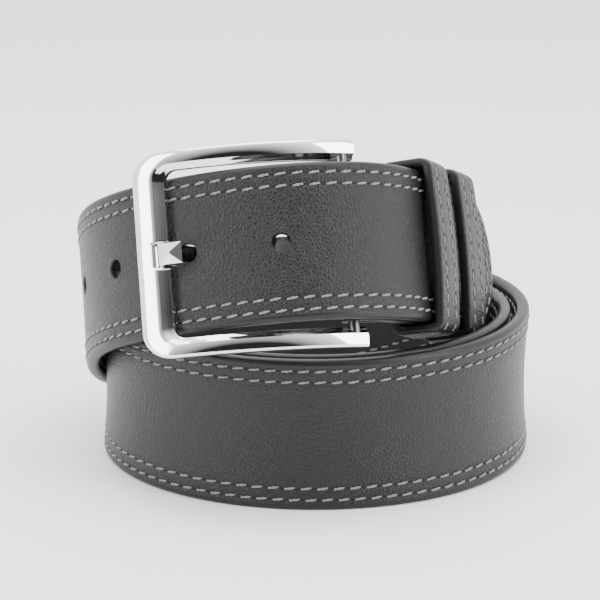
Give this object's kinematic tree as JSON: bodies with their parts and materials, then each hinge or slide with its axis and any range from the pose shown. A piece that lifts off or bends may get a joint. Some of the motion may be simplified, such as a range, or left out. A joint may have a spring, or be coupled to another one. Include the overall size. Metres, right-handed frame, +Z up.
{
  "type": "belt",
  "caption": "Buckled leather dress belt wound into a standing coil, with a polished prong buckle, edge stitching, a pointed-block tongue tip and two keeper loops.",
  "frame": {"origin": "under the middle of the whole coil's outline, on the surface that it stands on", "axes": "+Z up, the buckle on the -Y side, the tail's tip on the +X side"},
  "size_m": [0.1242, 0.1343, 0.0947],
  "materials": {
    "face_leather": "satin grained",
    "core_board": "matte",
    "lining_leather": "satin fine grain",
    "chape_leather": "satin grained",
    "stitching": "twisted waxed thread",
    "bobbin_stitching": "twisted waxed thread",
    "buckle": "polished",
    "heel_bar": "plated",
    "prong": "polished",
    "rivets": "plated",
    "keeper_face_leather": "satin grained",
    "keeper_lining_leather": "satin",
    "staples": "plain wire"
  },
  "bodies": {
    "strap": {"strap_face_leather": "face_leather", "strap_core_board": "core_board", "strap_lining_leather": "lining_leather", "chape_leather": "chape_leather", "outer_row_needle_thread": "stitching", "inner_row_needle_thread": "stitching", "outer_row_bobbin_thread": "bobbin_stitching", "inner_row_bobbin_thread": "bobbin_stitching", "chape_rivet_posts": "rivets", "chape_rivet_caps": "rivets", "fixed_keeper_face": "keeper_face_leather", "fixed_keeper_lining": "keeper_lining_leather", "fixed_keeper_stitching": "stitching", "fixed_keeper_staple": "staples"},
    "buckle": {"buckle_frame": "buckle", "heel_bar": "heel_bar"},
    "prong": {"prong": "prong"},
    "floating_keeper": {"floating_keeper_face": "keeper_face_leather", "floating_keeper_lining": "keeper_lining_leather", "floating_keeper_stitching": "stitching", "floating_keeper_staple": "staples"}
  },
  "joints": [
    {"name": "buckle_swing", "type": "hinge", "parent": "strap", "child": "buckle", "pos_m": [0.01096, -0.04862, 0.06856], "axis": [-0.0777, 0.3702, 0.9257], "range_deg": [-0.5, 0.5]},
    {"name": "prong_lift", "type": "hinge", "parent": "buckle", "child": "prong", "pos_m": [0.01096, -0.04862, 0.06856], "axis": [-0.0777, 0.3702, 0.9257], "range_deg": [0, 0.5]},
    {"name": "keeper_slide", "type": "slide", "parent": "strap", "child": "floating_keeper", "axis": [0.3796, 0.8695, -0.3159], "range_m": [-0.001, 0.006]}
  ]
}
